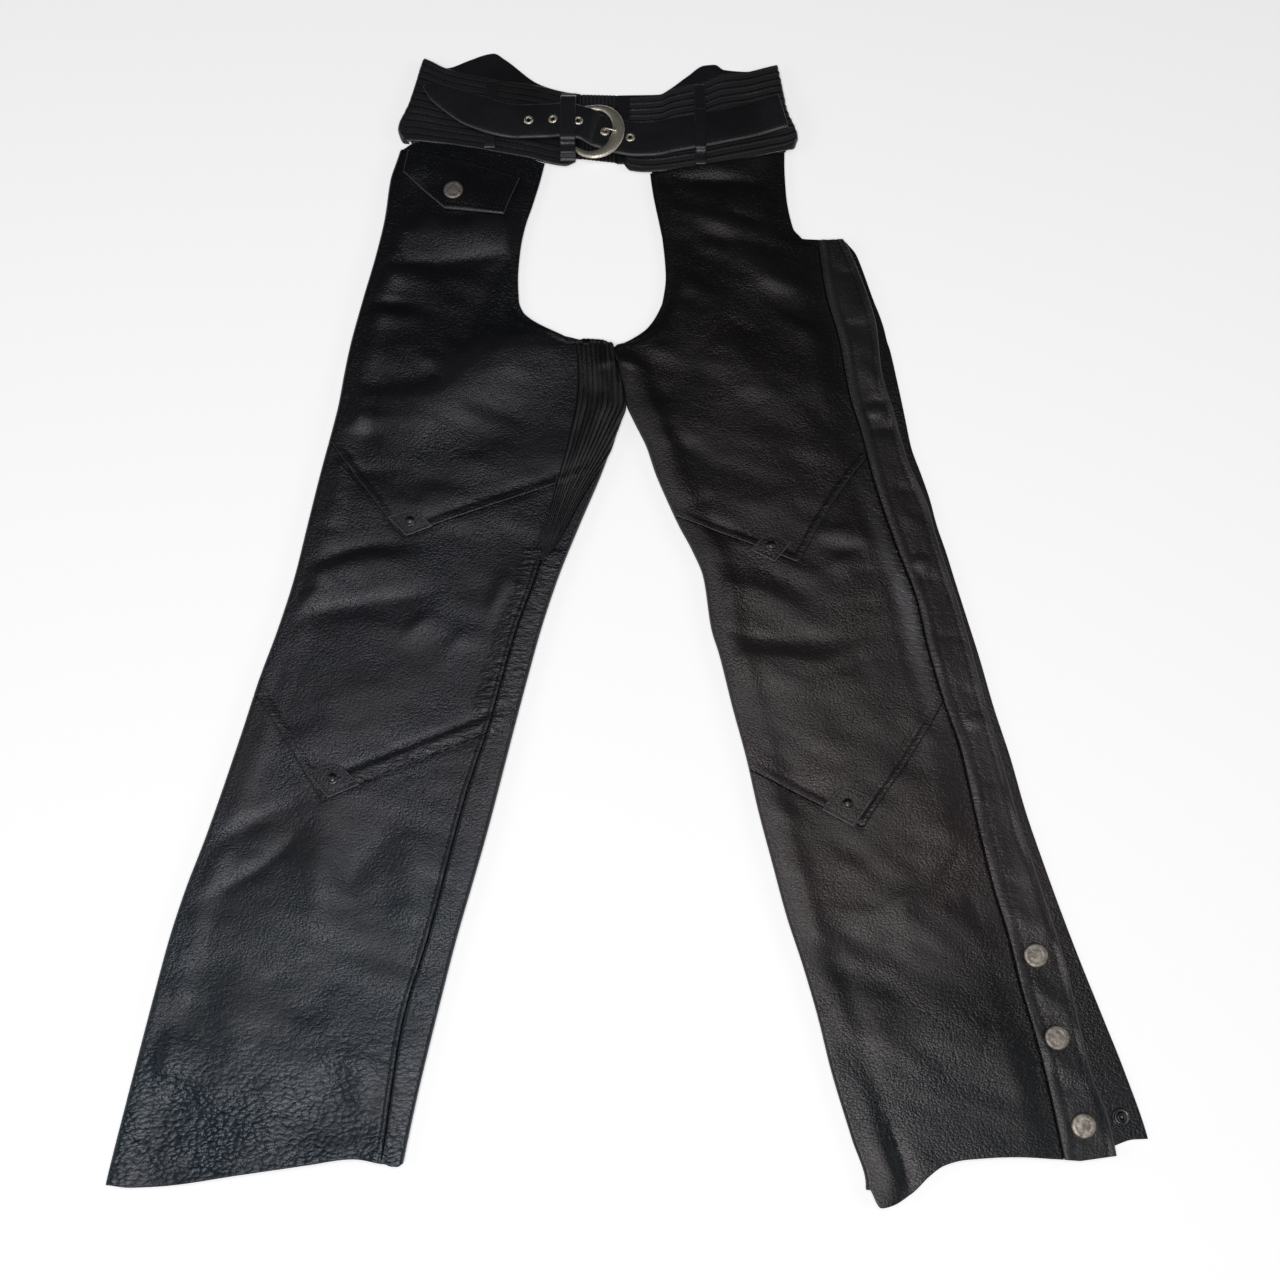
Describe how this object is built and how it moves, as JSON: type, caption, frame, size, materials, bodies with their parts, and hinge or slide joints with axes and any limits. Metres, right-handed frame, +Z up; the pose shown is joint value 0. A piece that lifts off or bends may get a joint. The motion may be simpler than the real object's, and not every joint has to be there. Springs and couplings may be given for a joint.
{
  "type": "leather riding chaps",
  "caption": "Black leather chaps laid flat and shut by a buckled waist strap, with ribbed yokes, V-seamed legs and a snap placket down one side.",
  "frame": {"origin": "middle of the underside, at the surface that the garment lies on", "axes": "+X towards the wearer's left leg, +Y from the hems to the waist, +Z up from the surface, out of the garment's front"},
  "size_m": [0.8499, 1.0807, 0.02],
  "materials": {
    "leather": "semi-matt black, soft grain",
    "knee_leather": "semi-matt brown-black, soft grain",
    "hem_leather": "semi-matt green-black, soft grain",
    "ribbed_leather": "ribbed stretch leather, semi-matt black",
    "strap_leather": "smooth black strap leather, light sheen",
    "nickel": "antique nickel, worn satin",
    "silver": "antique silver, worn satin"
  },
  "bodies": {
    "root": {"right_front_thigh": "leather", "right_front_knee": "knee_leather", "right_front_shin": "hem_leather", "right_back": "hem_leather", "right_gusset": "ribbed_leather", "left_front_thigh": "leather", "left_front_knee": "knee_leather", "left_front_shin": "hem_leather", "left_back": "hem_leather", "left_placket": "knee_leather", "right_yoke": "leather", "left_yoke": "leather", "right_back_yoke": "leather", "left_back_yoke": "leather", "back_waist_insert": "ribbed_leather", "waist_strap": "strap_leather", "buckle_chape": "strap_leather", "buckle_frame": "silver", "buckle_prong": "silver", "strap_keeper": "strap_leather", "right_belt_loop": "strap_leather", "left_belt_loop": "strap_leather", "eyelet_1": "silver", "eyelet_2": "silver", "eyelet_3": "silver", "eyelet_4": "silver", "eyelet_5": "silver", "pocket_flap": "leather", "pocket_snap": "nickel", "right_upper_patch": "leather", "right_lower_patch": "leather", "left_upper_patch": "leather", "left_lower_patch": "leather", "right_upper_rivet": "nickel", "right_lower_rivet": "nickel", "left_upper_rivet": "nickel", "left_lower_rivet": "nickel", "placket_snap_1": "nickel", "placket_snap_2": "nickel", "placket_snap_3": "nickel", "hem_socket": "nickel"}
  },
  "joints": []
}
